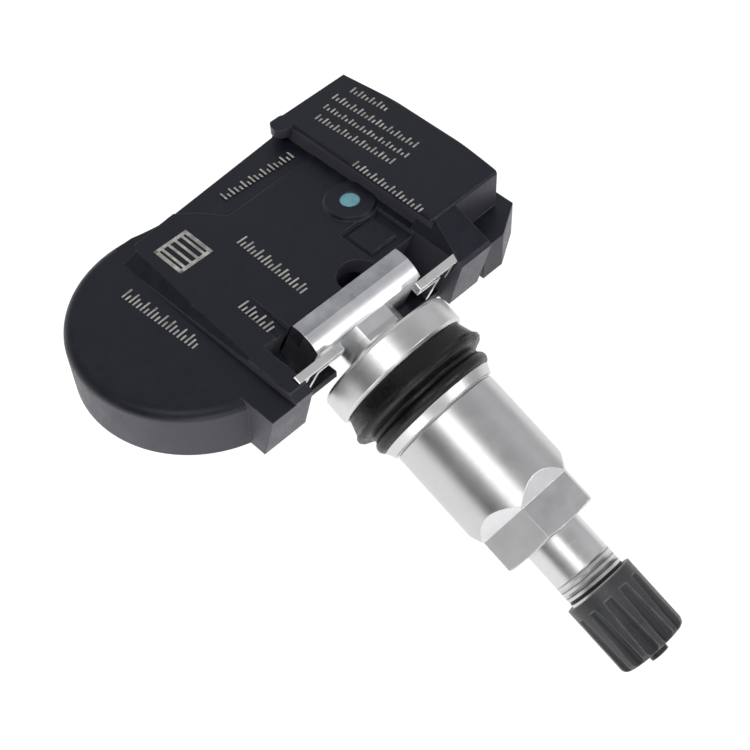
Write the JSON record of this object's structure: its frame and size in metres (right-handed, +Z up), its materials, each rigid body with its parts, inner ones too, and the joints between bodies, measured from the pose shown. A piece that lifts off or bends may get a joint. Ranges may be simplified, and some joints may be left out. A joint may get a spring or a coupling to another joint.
{
  "type": "tyre pressure sensor",
  "caption": "Tyre pressure sensor: a clamp-in metal valve with rubber grommet, hexagon collar nut and fluted dust cap, pinned by a barrel bar to a moulded sensor housing.",
  "frame": {"origin": "centre of the rim seat on the valve axis, where the grommet's end meets the wheel", "axes": "-Y along the valve axis, out of the wheel; +X along the swivel bar; +Z up, on the side of the housing's deck"},
  "size_m": [0.0547, 0.0784, 0.0239],
  "materials": {
    "valve_metal": "satin turned",
    "grommet_rubber": "matte moulded",
    "core_brass": "turned",
    "core_rubber": "matte",
    "pin_brass": "turned",
    "cup_rubber": "matte",
    "spring_steel": "drawn wire",
    "washer_metal": "satin turned",
    "nut_metal": "satin turned",
    "cap_rubber": "matte",
    "cap_plastic": "moulded",
    "housing_plastic": "fine moulded grain",
    "cover_plastic": "moulded",
    "clip_steel": "bright rolled",
    "cell_steel": "drawn",
    "tab_steel": "rolled",
    "board_laminate": "solder mask",
    "chip_plastic": "moulded",
    "seal_rubber": "matte",
    "membrane_cloth": "porous film",
    "ferrite": "sintered",
    "copper_wire": "enamelled",
    "crystal_can": "drawn",
    "component_ceramic": "sintered",
    "antenna_steel": "rolled"
  },
  "bodies": {
    "valve": {"valve_stem": "valve_metal", "rubber_grommet": "grommet_rubber", "core_body": "core_brass", "core_seal": "core_rubber", "core_spring": "spring_steel"},
    "pin": {"core_pin": "pin_brass", "core_cup": "cup_rubber"},
    "washer": {"thrust_washer": "washer_metal"},
    "nut": {"collar_nut": "nut_metal"},
    "cap_liner": {"cap_seal": "cap_rubber"},
    "cap": {"dust_cap": "cap_plastic"},
    "housing": {"housing_shell": "housing_plastic", "base_cover": "cover_plastic", "clip_left": "clip_steel", "clip_right": "clip_steel", "battery_cell": "cell_steel", "battery_tab_top": "tab_steel", "battery_tab_base": "tab_steel", "circuit_board": "board_laminate", "sensor_chip": "chip_plastic", "port_seal": "seal_rubber", "port_membrane": "membrane_cloth", "coil_core": "ferrite", "coil_winding": "copper_wire", "crystal": "crystal_can", "chip_components": "component_ceramic", "antenna_strip": "antenna_steel"}
  },
  "joints": [
    {"name": "housing_swivel", "type": "hinge", "parent": "valve", "child": "housing", "pos_m": [0, 0.015, 0], "axis": [1, 0, 0], "range_deg": [-12, 4]},
    {"name": "nut_feed", "type": "slide", "parent": "valve", "child": "washer", "axis": [0, -1, 0], "range_m": [0, 0.0051]},
    {"name": "nut_spin", "type": "hinge", "parent": "washer", "child": "nut", "pos_m": [0, -0.01, 0], "axis": [0, -1, 0], "range_deg": [0, 1800]},
    {"name": "cap_feed", "type": "slide", "parent": "valve", "child": "cap_liner", "axis": [0, -1, 0], "range_m": [0, 0.0049]},
    {"name": "cap_spin", "type": "hinge", "parent": "cap_liner", "child": "cap", "pos_m": [0, -0.032, 0], "axis": [0, -1, 0], "range_deg": [0, 2160]},
    {"name": "pin_press", "type": "slide", "parent": "valve", "child": "pin", "axis": [0, 1, 0], "range_m": [0, 0.001], "stiffness_N_per_m": 800, "springref_m": -0.001, "deforming": ["core_spring"]}
  ],
  "couplings": [
    {"joint": "nut_feed", "follows": "nut_spin", "m_per_rad": 0.00015915},
    {"joint": "cap_feed", "follows": "cap_spin", "m_per_rad": 0.00012732}
  ]
}
